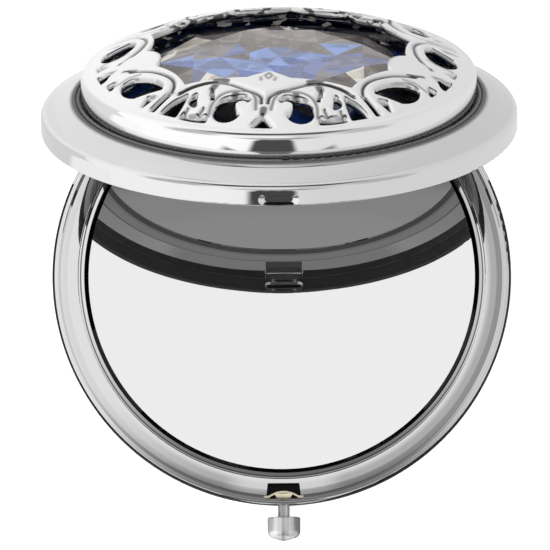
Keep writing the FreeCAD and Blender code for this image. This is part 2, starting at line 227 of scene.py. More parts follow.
def side_tones(tree, x, y, left, right, back, front):
    """Tones that go softly from left to right, multiplied towards the back and the front."""
    reach = tree.maths("SQRT", x * x + y * y) + tiny
    across = tree.smooth(x / reach, *across_span)
    behind = tree.smooth(y / reach, *behind_span)
    before = tree.smooth(y / reach, *before_span)
    return (across * (right - left) + left) * (behind * (back - 1) + 1) * (before * (front - 1) + 1)


def hang(shown, tone, sides, heights, soft_sides, soft_heights, around=bearing):
    """Covers part of the room with a soft-edged card of one tone."""
    there = room.window(around, *sides, soft_sides) * room.window(height, *heights, soft_heights)
    return shown + (tone - shown) * there


ceiling_span = (55, 80)
ceiling_shade = 0.16
sail_tone = 0.36
sail_rise = (56, 62)
sail_fall = (72, 94)
sail_window = (-55, 55, 25)
white_card_span = (7, 10)
# A card is a tone, its sides, its heights and the softness of both. Some count their sides from the back
cards = (
    (0.07, (-19, 11), (30, 58), 2.5, 2),
    (0.24, (-34, 34), (-12, 30.5), 3, 1.0),
    (0.34, (-12, 12), (13, 30), 5, 1.0),
    (0.55, (-95, 95), (28, 56), 14, 6, from_back),
    (0.10, (-36, 32), (28, 57), 9, 5, from_back),
)
shown = side_tones(room, x, y, left=1.08, right=0.80, back=0.95, front=1.0)
shown = shown * (1 - room.smooth(height, *ceiling_span) * ceiling_shade)
sail = room.smooth(height, *sail_rise) * (1 - room.smooth(height, *sail_fall))
sail = sail * room.window(bearing, *sail_window)
shown = shown + (sail_tone - shown) * sail
for card in cards:
    shown = hang(shown, *card)
to_camera = turn.transposed() @ Vector((0, 0, 1))
mirror_looks = Vector((to_camera.x, -to_camera.y, to_camera.z))
cosine = room.vectors("DOT_PRODUCT", direction, mirror_looks, out=1)
from_card = room.maths("ARCCOSINE", cosine) * to_degrees
shown = shown + (1.0 - shown) * (1 - room.smooth(from_card, *white_card_span))
seen_by_camera = room.node("LightPath")
tone = seen_by_camera + (1 - seen_by_camera) * shown
background = room.node("Background", {"Color": tone, "Strength": 1.0})
room.node("OutputWorld", {"Surface": background})
print("world has", len(room.nodes), "nodes")

# %% [markdown]
# ## The table
#
# The picture has a pure white ground with almost no shadow. A white diffuse plane alone never reaches
# white evenly, so the table is part light and part paint: the paint keeps a trace of the shadow. The
# plating sees the same table as part of the room, with its light and shade painted on: brighter on the
# left, greyer behind on the left, and a painted shadow close to the case, where little light comes in.

# %% Lay the table
table_half = 0.45
paint_tone = 0.8
glow_strength = 0.62
foot_shadow_shift = 3 * mm
foot_shadow_span = (39 * mm, 45 * mm)
foot_shadow_tone = 0.08
behind_rise = (0.0, 0.07)
left_fall = (-0.92, -0.6)
behind_left_shade = 0.26

table_mesh = bpy.data.meshes.new("table")
table_corners = [(i * table_half, j * table_half, 0) for i, j in ((-1, -1), (1, -1), (1, 1), (-1, 1))]
table_mesh.from_pydata(table_corners, [], [(0, 1, 2, 3)])
table = put_in_scene("table", table_mesh)
table_paint, paint = painted("table_white")
px, py = paint.split(paint.node("TexCoord", out=3))[:2]
# A painted shadow round the foot of the case and painted shade behind on the left, seen only by the plating
shade_x = px - foot_shadow_shift
foot = paint.smooth(paint.maths("SQRT", shade_x * shade_x + py * py), *foot_shadow_span)
foot = foot * (1 - foot_shadow_tone) + foot_shadow_tone
away = paint.maths("SQRT", px * px + py * py) + tiny
behind_left = paint.smooth(py / away, *behind_rise) * (1 - paint.smooth(px / away, *left_fall))
mirrored_tone = side_tones(paint, px, py, left=1.04, right=0.80, back=0.96, front=0.9)
mirrored_tone = mirrored_tone * foot * (1 - behind_left * behind_left_shade)
lit = paint.node("BsdfDiffuse", {"Color": grey(paint_tone)})
glow = paint.node("Emission", {"Color": grey(1), "Strength": glow_strength})
ground = paint.node("AddShader", {0: lit, 1: glow})
reflected = paint.node("Emission", {"Color": mirrored_tone, "Strength": 1.0})
for_metal = paint.node("LightPath", out=3)
shown_table = paint.node("MixShader", {0: for_metal, 1: ground, 2: reflected})
paint.node("OutputMaterial", {"Surface": shown_table})
table_mesh.materials.append(table_paint)
print("table", 2 * table_half, "m wide")

# %% [markdown]
# ### Strips on edge
#
# Strips of black cloth on edge, close round the case, draw the thin dark line along the base. A card
# painted on the world is as good as endlessly far away, so its reflection would not follow the rim. The
# strips rise from nothing beside the button, and only the plating sees them.

# %% Stand two strips round the case
flag_radius = 40 * mm
flag_height = 10.5 * mm
flag_ends = (5, 115)
flag_taper = 14
flag_tone = 0.04
flag_steps = 48
flag_cloth, cloth = painted("flag_black")
black = cloth.node("BsdfDiffuse", {"Color": grey(flag_tone)})
cloth.node("OutputMaterial", {"Surface": black})


def flag(name, side):
    """A dark strip round one side of the case, low by the button."""
    start, end = (side * angle for angle in flag_ends)
    angles = [start + (end - start) * k / flag_steps for k in range(flag_steps + 1)]
    tops = [flag_height * min(1, abs(angle - start) / flag_taper) for angle in angles]
    points = [(flag_radius * math.sin(math.radians(a)), -flag_radius * math.cos(math.radians(a)), h)
              for heights in ([0] * len(tops), tops) for a, h in zip(angles, heights)]
    quads = [(k, k + 1, k + flag_steps + 2, k + flag_steps + 1) for k in range(flag_steps)]
    mesh = bpy.data.meshes.new(name)
    mesh.from_pydata(points, [], quads)
    mesh.materials.append(flag_cloth)
    strip = put_in_scene(name, mesh)
    for ray in ("camera", "diffuse", "shadow", "transmission"):
        setattr(strip, "visible_" + ray, False)
    print(name, "runs from", start, "to", end, "degrees")


flag("flag_left", -1)
flag("flag_right", 1)

# %% [markdown]
# ### Soft boxes
#
# What does not shine needs lamps. A sun would do, but its shadow is hard. Two wide soft boxes leave a
# trace of shadow on the table, and the plating does not see them, because its room is painted.

# %% Hang two soft boxes
def softbox(name, place, side, power):
    """A square lamp that looks at the object and leaves no reflection."""
    data = bpy.data.lights.new(name, "AREA")
    data.size = side
    data.energy = power
    box = put_in_scene(name, data)
    look = (aim - place).to_track_quat("-Z", "Y").to_matrix().to_4x4()
    box.matrix_world = Matrix.Translation(place) @ look
    box.visible_glossy = False
    print(name, side, "m wide,", power, "W")


softbox("key_left", Vector((-0.35, -0.25, 0.75)), 0.5, 4.0)
softbox("fill_right", Vector((0.45, 0.1, 0.7)), 0.5, 2.0)

# %% [markdown]
# ## Finishes
#
# A few functions make the finishes, and each varies over its surface. Painted pictures would need
# unwrapping, so bands of painted shade are circles about the case's axis. The lid is modelled open, so
# its coordinates are first swung shut on the hinge in the shader: one set of radii then serves both halves.

# %% Places on the case
finishes = {}
ring_soft = 0.02
latch_side = (-20, -19)
side_span = (-0.35, 0.45)
by_latch_span = (-0.955, -0.99)
by_latch_light = 0.65


def finish(name, on_lid=False):
    """Starts a finish and returns its tree and the place on the case."""
    finishes[name], tree = painted(name)
    return tree, Place(tree, on_lid)


def close(tree, **sockets):
    """Ends a finish in one Principled surface."""
    named = {key.replace("_", " "): value for key, value in sockets.items()}
    surface = tree.node("BsdfPrincipled", named)
    tree.node("OutputMaterial", {"Surface": surface})


class Place:
    """Object coordinates in millimetres, for a lid piece swung shut, with the distance from the axis."""

    def __init__(self, tree, on_lid=False):
        self.tree = tree
        self.on_lid = on_lid
        self.whole = tree.node("TexCoord", out=3)
        if on_lid:
            hung = {"Vector": self.whole, "Center": hinge_axis, "Angle": opening}
            self.whole = tree.node("VectorRotate", hung, {"rotation_type": "X_AXIS"})
        self.x, self.y, self.z = (part / mm for part in tree.split(self.whole))
        self.reach = tree.maths("SQRT", self.x * self.x + self.y * self.y)

    def ring(self, strength, reach, heights, soft=ring_soft):
        """A ring between two radii and two heights, with soft sides."""
        level = self.tree.window(self.z, *heights, ring_soft)
        return self.tree.window(self.reach, *reach, soft) * level * strength

    def at_latch(self, strength, reach, heights, half_width):
        """The part of a ring that lies at the latch."""
        beside = self.tree.window(self.x, -half_width, half_width, ring_soft)
        return self.ring(strength, reach, heights) * (beside * (1 - self.tree.smooth(self.y, *latch_side)))

    def to_front(self, strength, reach, heights, start=-0.1):
        """A ring that fades in from the sides to the front."""
        return self.ring(strength, reach, heights) * self.tree.smooth(self.y / self.reach, start, -1.0)

    def outwards(self, strength, reach, heights, grows, side):
        """A ring of painted shade that grows outwards, on one side of the case only and less by the latch."""
        towards = (self.x * side[0] + self.y * side[1]) / self.reach
        grown = self.tree.smooth(self.reach, *grows) * self.tree.smooth(towards, *side_span)
        by_latch = self.tree.smooth(self.y / self.reach, *by_latch_span) * by_latch_light
        return self.ring(strength, reach, heights) * grown * (1 - by_latch)

    def lean(self, leans):
        """The surface normal, pulled towards the axis on some rings."""
        pull = sum(self.ring(-slope, *sizes) for slope, *sizes in leans) / self.reach
        inwards = self.tree.node("CombineXYZ", {"X": self.x * pull, "Y": self.y * pull})
        if self.on_lid:
            hung = {"Vector": inwards, "Angle": -opening}
            inwards = self.tree.node("VectorRotate", hung, {"rotation_type": "X_AXIS"})
        turned = {"vector_type": "VECTOR", "convert_from": "OBJECT", "convert_to": "WORLD"}
        inwards = self.tree.node("VectorTransform", {"Vector": inwards}, turned)
        upright = self.tree.node("NewGeometry", out=1)
        return self.tree.vectors("NORMALIZE", self.tree.vectors("ADD", upright, inwards))

    def noise(self, scale, stretch=(1, 1, 1), detail=3.0):
        """Soft noise over the piece, drawn out where the stretch is small."""
        spread = self.tree.vectors("MULTIPLY", self.whole, stretch)
        sockets = {"Vector": spread, "Scale": scale, "Detail": detail}
        return self.tree.node("TexNoise", sockets)


print("kinds of place: ring, at_latch, to_front, outwards")

# %% [markdown]
# ### Plating
#
# Chrome is nearly white metal with a trace of polishing haze. The narrow gaps of the case are black: the
# latch pockets, the inside of the lid's lip, the cove under the bead and the inner slope of the bezels.
# Such gaps could be left to the light, but they are only pixels wide, so a ring of painted shade draws
# them, and on the lid they are dull as well. Ledges, grooves, lips and seams get a lighter painted shade,
# and the ledges lean a little, which only their normals show.

# %% Plated pieces
haze_scale = 90.0
haze_tones = (-0.02, 0.01)
shade_tone = 0.004
gap_tone = 0.018
gap_rough = 0.7


def plating(name, tone, rough, on_lid=False, shades=None, leans=None, gaps=None):
    """Bright polished plating with optional rings of painted shade, rings that lean and dull gaps of painted
    shade.
    """
    tree, place = finish(name, on_lid)
    haze = place.noise(haze_scale, detail=4.0)
    colour = tree.mix(haze, *(grey(tone + change) for change in haze_tones))
    for kind, *sizes in (shades or {}).values():
        colour = tree.mix(getattr(place, kind)(*sizes), colour, grey(shade_tone))
    sockets = {"Base_Color": colour, "Metallic": 1.0, "Roughness": haze * rough + rough / 2}
    if gaps:
        painted_dark = sum(getattr(place, kind)(*sizes) for kind, *sizes in gaps.values())
        dull = tree.maths("MINIMUM", painted_dark, 1.0)
        sockets["Base_Color"] = tree.mix(dull, colour, grey(gap_tone))
        sockets["Metallic"] = 1 - dull
        sockets["Roughness"] = sockets["Roughness"] + dull * gap_rough
    if leans:
        sockets["Normal"] = place.lean(leans.values())
    close(tree, **sockets)


# A painted shade or gap is its kind, its strength, two radii and two heights in mm. A lean has a slope instead
base_shades = {
    "pocket": ("at_latch", 0.996, (31.6, 34.02), (0.4, 4.2), 2.76),
    "groove": ("ring", 0.3, (33.72, 34.08), (4.0, 4.92)),
    "groove in front": ("to_front", 0.82, (33.6, 34.08), (4.0, 5.0), -0.4),
    "lip in front": ("to_front", 0.6, (34.08, 34.5), (4.9, 5.1), -0.6),
    "ledge": ("ring", 0.07, (31.1, 33.66), (4.2, 5.0)),
    "ledge on one side": ("outwards", 0.45, (31.0, 33.66), (4.2, 5.0), (30.95, 32.2), (0.75, -0.66)),
}
base_leans = {
    "ledge": (0.13, (31.15, 33.66), (4.2, 5.0)),
    "lip": (-0.10, (34.12, 34.5), (4.9, 5.1)),
}
lid_shades = {
    "ledge": ("ring", 0.14, (30.5, 34.0), (5.2, 7.3)),
    "ledge seam": ("ring", 0.5, (30.3, 30.75), (5.2, 7.3), 0.12),
    "flange": ("ring", 0.1, (30.0, 34.3), (8.0, 10.6), 0.3),
    "below the catch": ("at_latch", 0.92, (34.4, 34.97), (5.0, 5.52), 2.05),
    "above the catch": ("at_latch", 0.75, (34.4, 34.97), (6.38, 6.9), 2.05),
}
lid_leans = {"ledge": (-0.10, (30.5, 34.0), (5.2, 7.3))}
lid_gaps = {
    "inside of the lip": ("ring", 1.0, (33.97, 34.14), (5.07, 7.1)),
    "edge of the lip": ("ring", 1.0, (34.0, 35.1), (4.9, 5.07)),
    "pocket": ("at_latch", 0.98, (30.5, 34.02), (7.02, 7.95), 2.76),
    "bead cove": ("ring", 0.86, (28.6, 30.6), (8.3, 10.6), 0.4),
}
base_bezel_shades = {
    "gap": ("ring", 0.98, (29.0, 30.15), (3.0, 5.0)),
    "seam": ("ring", 0.8, (30.58, 30.8), (3.0, 5.0)),
    "front": ("to_front", 0.64, (30.15, 31.1), (3.0, 5.0)),
}
base_bezel_leans = {"top": (-0.12, (29.97, 30.62), (3.0, 5.0))}
lid_bezel_shades = {
    "gap": ("ring", 0.68, (27.0, 28.4), (5.0, 9.0), 0.1),
    "top": ("ring", 0.32, (28.5, 30.1), (5.0, 9.0), 0.1),
    "seam": ("ring", 0.6, (30.1, 30.6), (5.0, 9.0), 0.1),
}
lid_bezel_leans = {"top": (0.05, (28.65, 30.4), (5.0, 9.0))}
plating("plated_case", 0.80, 0.03, False, base_shades, base_leans)
plating("plated_case_lid", 0.80, 0.03, True, lid_shades, lid_leans, lid_gaps)
plating("plated_bezel", 0.82, 0.03, False, base_bezel_shades, base_bezel_leans)
plating("plated_bezel_lid", 0.78, 0.03, True, lid_bezel_shades, lid_bezel_leans)
plating("plated_hinge", 0.76, 0.05)
print("plated:", ", ".join(finishes))

# %% [markdown]
# ### Cast cover and mirrors
#
# The cast cover is brighter, and painted shade darkens its creases and the edges of its openings. How
# much shade a spot gets is measured when the relief is made and arrives as an attribute. The stone throws
# glints on the cover's inner wall and dark patches on its far edge. Tracing them would take many samples,
# so a pattern of cells paints them as glints and dark reflections. The mirrors are plain silver.

# %% Plated casting and mirrors
cast_haze = 140.0
cast_tones = (0.90, 0.93)
cell_flat = (1, 1, 2.4)
cell_scale = 820.0
stray_wall = (1.0, (26.9, 27.95), (9.5, 13.6))
stray_cells = (0.64, 0.68)
pale_cells = (0.80, 0.84)
deep_glint = (0.012, 0.022, 0.075, 1)
pale_glint = (0.80, 0.76, 0.68, 1)
far_ring = (0.9, (17.0, 20.6), (15.0, 19.5))
far_side = (8, 11)
far_cells = (0.66, 0.70)
crease_shade_tone = 0.02

tree, place = finish("plated_filigree", on_lid=True)
haze = place.noise(cast_haze, detail=4.0)
# The attribute holds painted shade in the creases and the painted dark dashes
crease_shade = tree.node("Attribute", settings={"attribute_name": "crease_shade"}, out=2)
bright = tree.mix(haze, *map(grey, cast_tones))
flat = tree.vectors("MULTIPLY", place.whole, cell_flat)
cells = tree.node("TexVoronoi", {"Vector": flat, "Scale": cell_scale}, out=1)
cell = tree.node("SeparateColor", {"Color": cells})
# Painted glints of the stone on the inner wall, and painted dark reflections on the far edge
stray = place.ring(*stray_wall) * tree.smooth(cell, *stray_cells)
glint = tree.mix(tree.smooth(cell, *pale_cells), deep_glint, pale_glint)
far_edge = place.ring(*far_ring) * tree.smooth(place.y, *far_side)
dark = tree.maths("MAXIMUM", crease_shade, far_edge * tree.smooth(cell, *far_cells))
shaded = tree.mix(stray, tree.mix(dark, bright, grey(crease_shade_tone)), glint)
close(tree, Base_Color=shaded, Metallic=1 - stray, Roughness=haze * 0.05 + 0.03)

silver_haze = 30.0
silver_tones = (0.83, 0.85)
tree, place = finish("silvered_glass")
haze = place.noise(silver_haze)
silver = tree.mix(haze, *map(grey, silver_tones))
close(tree, Base_Color=silver, Metallic=1.0, Roughness=haze * 0.003 + 0.001)
print("plating and silver ready")

# %% [markdown]
# ### Latch, hinge pin and the hidden layers
#
# Turned steel shows streaks along its axis, rolled brass along the strip. They could be painted as a
# picture, but noise that is stretched until it becomes a streak needs none. The hook gets painted shade
# to the front, and the button a painted dark reflection along its top. The layers that no one sees still
# get their own finish.

# %% Turned, rolled and lacquered finishes
streak_span = (0.35, 0.65)
streak_rough = 0.12
front_span = (-33.3, -34.5)
reflection_stripe_window = (-0.35, 0.1, 0.25)
painted_shade_colour = (0.05, 0.04, 0.025, 1)


def streaked(name, light, dark, scale, stretch, metallic, rough, shade=0.0, reflection_stripe=0.0):
    """Metal whose tone and gloss vary in streaks, with a painted shade to the front or a painted dark reflection
    along the top.
    """
    tree, place = finish(name)
    sharp = tree.smooth(place.noise(scale, stretch), *streak_span)
    # Painted shade towards the front, and a painted dark reflection along the top
    painted_dark = tree.smooth(place.y, *front_span) * shade + tree.window(place.x, *reflection_stripe_window) * reflection_stripe
    colour = tree.mix(painted_dark, tree.mix(sharp, dark, light), painted_shade_colour)
    close(tree, Base_Color=colour, Metallic=metallic, Roughness=sharp * streak_rough + rough)


def soft(name, light, dark, scale, rough):
    """A coloured layer that is no metal, mottled a little."""
    tree, place = finish(name)
    mottle = place.noise(scale)
    close(tree, Base_Color=tree.mix(mottle, dark, light), Roughness=mottle * 0.1 + rough)


along_y = (1, 0.02, 1)
streaked("satin_steel", grey(0.88), (0.48, 0.48, 0.49, 1), 800.0, along_y, 0.7, 0.26, 0.0, 0.45)
streaked("pin_steel", (0.66, 0.66, 0.67, 1), (0.52, 0.52, 0.53, 1), 900.0, (0.05, 1, 1), 1.0, 0.25)
streaked("hook_brass", (0.86, 0.80, 0.64, 1), (0.72, 0.64, 0.47, 1), 900.0, (1, 0.2, 0.2), 0.8, 0.14, 0.75)
streaked("spring_brass", (0.78, 0.70, 0.54, 1), (0.60, 0.51, 0.36, 1), 900.0, (0.1, 1, 1), 0.8, 0.2)
soft("foam_adhesive", grey(0.06), grey(0.03), 1500.0, 0.8)
soft("adhesive_tape", (0.86, 0.86, 0.83, 1), (0.78, 0.78, 0.74, 1), 700.0, 0.6)
soft("dark_tray", (0.010, 0.022, 0.085, 1), (0.003, 0.004, 0.010, 1), 260.0, 0.1)
soft("clear_cement", (0.80, 0.82, 0.84, 1), (0.66, 0.68, 0.72, 1), 300.0, 0.2)
soft("stone_foil", (0.10, 0.18, 0.52, 1), (0.03, 0.05, 0.20, 1), 400.0, 0.25)
print("finishes:", len(finishes))

# %% [markdown]
# ### The stone's finish
#
# Behind a flat table the back facets of a foiled stone show as sharp fields of colour. Glass that bends
# light would need many bounces for that and stays noisy. Here every facet carries its own colour as an
# attribute, and a fine pattern of cells breaks it into shards, under a clear gloss. Pale flecks of noise
# are painted glints.

# %% Facet colours in the shader
shard_scale = 560.0
shard_tones = (0.7, 0.55)
fleck_scale = 900.0
fleck_span = (0.66, 0.72)
fleck_strength = 0.25
fleck_glint_colour = (0.62, 0.60, 0.55, 1)
glass_ior = 1.52

tree, place = finish("stone_glass", on_lid=True)
facet = tree.node("Attribute", settings={"attribute_name": "facet"})
shards = tree.node("TexVoronoi", {"Vector": place.whole, "Scale": shard_scale}, out=1)
shard = tree.node("SeparateColor", {"Color": shards})
scaled = {0: facet, "Scale": shard * shard_tones[1] + shard_tones[0]}
toned = tree.node("VectorMath", scaled, {"operation": "SCALE"})
# Painted glints: pale flecks of noise
fleck_glints = tree.smooth(place.noise(fleck_scale), *fleck_span) * fleck_strength
colour = tree.mix(fleck_glints, toned, fleck_glint_colour)
close(tree, Base_Color=colour, Roughness=shard * 0.06 + 0.03, IOR=glass_ior)
print("stone finish has", len(tree.nodes), "nodes")

# %% [markdown]
# ### Dressing the solids
#
# The record names one finish for each piece. They could be set by hand, but a loop misses none. The lid's
# shell and bezel take the version of theirs that is swung shut in the shader.

# %% Give every piece its finish
slots = {part["node"]: part["material_slot"] for part in frame["record"]["subparts"]}
lid_finishes = {"lid_shell": "plated_case_lid", "lid_mirror_bezel": "plated_bezel_lid"}
for node, slot in slots.items():
    body = frame["nodes"][node]
    body.data.materials.clear()
    body.data.materials.append(finishes[lid_finishes.get(node, slot)])
print("dressed", len(slots), "nodes")

# %% [markdown]
# ## The scrollwork cover
#
# The cover is one casting: a low wall, a rounded shoulder and a dome pierced by five motifs, one scroll
# and four leaves, each mirrored about its own axis. A Boolean could pierce the dome, but its edges would
# be knife sharp. So half a motif is drawn flat as outlines, and the distance to the nearest opening
# rounds the metal off. Points are an angle from the motif's axis and an inset from the rim, and a pair of
# points is an arc through the first one.

# %% Draw the motifs
motif_half = 36
cusp = (motif_half, 8.9)
scroll_edge = (((25, 12.1), (12.4, 13.6)), ((7.5, 15.0), (0, 16.7)))
leaf_edge = (((24, 10.5), (11, 10.1)), ((5.5, 11.0), (0, 11.4)))
scroll_openings = (
    ((-2.8, 2.1), (2.8, 2.1), (0, 3.9)),
    ((8.2, 4.2), ((12.4, 2.7), (16.6, 5.0)), ((14.8, 7.2), (11.4, 7.6)), ((8.4, 8.2), (5.6, 7.5)),
     (6.2, 7.0), ((9.0, 7.2), (10.2, 6.1)), ((10.0, 5.1), (8.2, 4.2))),
    ((30.3, 6.6), ((29.1, 4.6), (28.5, 2.4)), (33.4, 2.4), ((32.6, 4.6), (30.3, 6.6))),
    ((18.0, 2.3), ((22.0, 2.2), (26.3, 2.3)), (26.1, 2.9), ((22.5, 2.8), (18.3, 3.2))),
    ((27.0, 7.1), ((27.6, 5.8), (24.4, 4.7)), ((25.1, 6.0), (27.0, 7.1))),
    ((22.6, 8.7), ((20.8, 7.7), (19.2, 6.7)), (20.0, 6.6), ((21.4, 7.6), (22.6, 8.7))),
)
leaf_openings = (
    ((-3.0, 2.4), (3.0, 2.4), (0, 4.8)),
    ((29.0, 6.3), (23.4, 3.4), ((17.5, 3.1), (12.6, 4.2)), ((12.5, 5.4), (14.8, 6.5)),
     ((21.0, 7.4), (27.0, 7.2))),
    ((7.8, 3.8), (7.4, 2.7), (10.8, 2.6)),
    ((30.8, 4.8), (28.4, 4.2), (29.9, 2.5)),
    ((35.2, 6.5), (33.9, 6.5), (34.0, 2.4), (35.1, 2.4)),
)
# A groove is a chain of points with a width and a depth, a ball a point with a radius
scroll_grooves = (
    (((1.2, 6.8), (1.6, 8.1), (4, 9.0), (8.9, 9.8), (13, 10.4), (19, 10.9), (26, 10.4), (31.5, 8.4),
      (33.8, 6.4)), 1.2, 0.85),
    (((2.6, 5.2), (3.6, 7.6), (6, 9.0), (9.5, 9.2), (13.5, 9.0), (17.4, 7.8), (18.6, 5.6),
      (17.6, 3.2)), 0.8, 0.5),
    (((0, 13.0), (2.0, 14.0), (0, 15.1)), 0.45, 0.4),
    (((3.9, 13.3), (3.3, 12.4)), 0.4, 0.35),
    (((25.6, 3.0), (25.8, 4.0)), 0.7, 0.6),
    (((20.8, 3.3), (20.6, 4.5)), 0.7, 0.6),
)
scroll_balls = (((8.3, 6.0), 0.8), ((23.3, 6.3), 1.1))
# A dash is a short painted dark reflection: a chain of points and a width
scroll_dashes = (
    (((19.6, 11.5), (22.5, 11.6), (25.4, 11.3)), 0.55),
    (((22.5, 8.9), (22.5, 9.6)), 0.75),
    (((12.1, 7.9), (12.1, 8.5)), 0.65),
    (((0, 4.5), (0, 5.2)), 0.7),
)
leaf_grooves = (
    (((34, 6.8), (32, 7.9), (28, 8.9), (22.5, 9.2), (15, 8.7), (9, 7.4), (4, 5.5)), 1.2, 0.85),
    (((11, 3.2), (10.6, 5.4), (12.6, 6.9)), 0.6, 0.3),
)
# The lobe is a soft swelling: a chain of points, a radius and a height
leaf_lobe = (((0, 5.6), (0, 10.4)), 3.0, 1.7)
motifs = {
    "scroll": (scroll_edge, scroll_openings, scroll_grooves, scroll_balls, scroll_dashes),
    "leaf": (leaf_edge, leaf_openings, leaf_grooves, (), ()),
}
motif_order = ("scroll", "leaf", "leaf", "leaf", "leaf")
print("motifs round the cover:", motif_order)

# %% [markdown]
# ### From the drawing to points
#
# Angles and insets become complex numbers, which turn and mirror by one product. The outlines could be
# free curves, but such ornament is set out with compasses, so they are arcs through three points.

# %% Turn outlines into points
cover_radius = 29.0 * mm
arc_steps = 14
curve_steps = 5
curve_least = 5


def spot(angle, inset):
    """A drawing's point as a complex number, with the motif's axis along the real line."""
    return (cover_radius - inset * mm) * np.exp(1j * math.radians(angle))


def arc(start, via, end):
    """Points along the circle through three points, without the first."""
    ratio = (end - start) / (via - start)
    centre = start - (start - via) * (ratio - abs(ratio) ** 2) / (2j * ratio.imag)
    whole = np.angle((end - centre) / (start - centre))
    part = np.angle((via - centre) / (start - centre))
    if part * whole < 0 or abs(part) > abs(whole):
        whole -= math.copysign(2 * math.pi, whole)
    return [centre + (start - centre) * np.exp(1j * whole * k / arc_steps) for k in range(1, arc_steps + 1)]


def trace(start, *steps):
    """The points of an outline whose steps are points or arcs."""
    line = [spot(*start)]
    for step in steps:
        if isinstance(step[0], tuple):
            line += arc(line[-1], spot(*step[0]), spot(*step[1]))
        else:
            line.append(spot(*step))
    return line


def curve(chain):
    """A curve through the points of a long chain; a short one stays straight."""
    points = [spot(*point) for point in chain]
    if len(points) < curve_least:
        return points
    ends = [2 * points[0] - points[1]] + points + [2 * points[-1] - points[-2]]
    line = []
    for a, b, c, d in zip(ends, ends[1:], ends[2:], ends[3:]):
        for t in np.arange(curve_steps) / curve_steps:
            line.append(b + t * (c - a + t * (2 * a - 5 * b + 4 * c - d + t * (3 * b - a - 3 * c + d))) / 2)
    return line + points[-1:]


def across(line):
    """The same line in the neighbouring motif, mirrored at the border between the two."""
    border = np.exp(2j * math.radians(motif_half))
    return [np.conj(point) * border for point in line]


def gap_to(points, line):
    """The distance of every point to a chain of short straight pieces."""
    near = np.full(points.shape, np.inf)
    for a, b in zip(line[:-1], line[1:]):
        if a != b:
            along = np.clip(((points - a) * np.conj(b - a)).real / abs(b - a) ** 2, 0, 1)
            near = np.minimum(near, abs(points - a - along * (b - a)))
    return near


def within(points, ring):
    """Which points lie inside a closed outline, by counting crossings."""
    inside = np.zeros(points.shape, bool)
    for a, b in zip(ring, ring[1:] + ring[:1]):
        if a.imag != b.imag:
            spans = (points.imag < a.imag) != (points.imag < b.imag)
            inside ^= spans & (points.real < a.real + (points.imag - a.imag) * (b - a).real / (b - a).imag)
    return inside


def pierced(points, kind, place=list):
    """How much metal lies between each point and the nearest opening of one half motif."""
    edge, openings = motifs[kind][:2]
    middle = place(trace(cusp, *edge))
    rings = [middle + [0j]] + [place(trace(*opening)) for opening in openings]
    metal = np.full(points.shape, np.inf)
    for ring in rings:
        gap = gap_to(points, middle if ring[-1] == 0 else ring + ring[:1])
        metal = np.minimum(metal, np.where(within(points, ring), -gap, gap))
    return metal


print("outline of the middle has", len(trace(cusp, *scroll_edge)), "points")

# %% [markdown]
# ### Relief
#
# The dome's section is an arc. Towards an opening the metal rounds off, along the grooves it sinks, and
# at the curl ends small balls stand up. Sculpting would give such forms too, but not the same ones all
# round. Short dark dashes on the arches are painted dark reflections, kept with the painted crease shade:
# they are tone, not form.

# %% Shape the surface
eaves = complex(27.7, 4.4) * mm
dome_middle = complex(22.0, 6.95) * mm
crown = complex(11.0, 8.45) * mm
grid_start = 12.0 * mm
cover_thickness = 1.2 * mm
least_thickness = cover_thickness / 3
edge_round = 0.8 * mm
edge_depth = 0.8 * mm
groove_floor = 0.08 * mm
crease_width = 0.26 * mm
edge_shade = 0.4
crease_lift = 0.25
ball_sink = 0.4
dash_shade = 0.8
columns = 86
rows = 72
dome = np.array([eaves] + arc(eaves, dome_middle, crown))


def rounded(share):
    """A quarter round from -1 at no distance to 0 at the full one."""
    return np.sqrt(1 - (1 - np.clip(share, 0, 1)) ** 2) - 1


def relief(points, metal, kind, beside):
    """How far the surface stands from the plain dome, and how much painted shade it gets in creases and dashes."""
    rise = edge_depth * rounded(metal / edge_round)
    # Painted shade by the openings' edges and along the grooves, and painted dark reflections in the dashes
    crease_shade = np.exp(-(metal / crease_width) ** 2) * edge_shade
    for name, place in ((kind, list), (beside, across)):
        grooves, balls, dashes = motifs[name][2:]
        for chain, width, depth in grooves:
            gap = gap_to(points, place(curve(chain)))
            rise = np.minimum(rise, depth * mm * rounded(np.hypot(gap, groove_floor) / (width * mm)))
            crease_shade = np.maximum(crease_shade, (depth + crease_lift) * np.exp(-(gap / crease_width) ** 2))
        for centre, radius in balls:
            gap = abs(points - place([spot(*centre)])[0]) / (radius * mm)
            ball = radius * mm * (np.sqrt(np.clip(1 - gap ** 2, 0, 1)) - ball_sink)
            stands = (gap < 1) & (metal > 0) & (ball > rise)
            rise = np.where(stands, ball, rise)
            crease_shade = np.where(stands, 0, crease_shade)
        for chain, width in dashes:
            gap = gap_to(points, place(curve(chain)))
            crease_shade = np.maximum(crease_shade, dash_shade * np.clip(2 - 2 * gap / (width * mm), 0, 1))
        if name == "leaf":
            chain, radius, height = leaf_lobe
            gap = gap_to(points, place(curve(chain))) / (radius * mm)
            rise = rise + height * mm * np.clip(1 - gap ** 2, 0, 1) ** 2
    return rise, np.clip(crease_shade, 0, 1)


print("dome rises from", round(eaves.imag / mm, 2), "to", round(crown.imag / mm, 2), "mm")

# %% [markdown]
# ### Half a motif
#
# Half a motif is a grid in angle and radius. A fine grid alone leaves steps along the openings, so cells
# that an outline crosses are cut exactly at the crossing, and the outlines stay smooth.

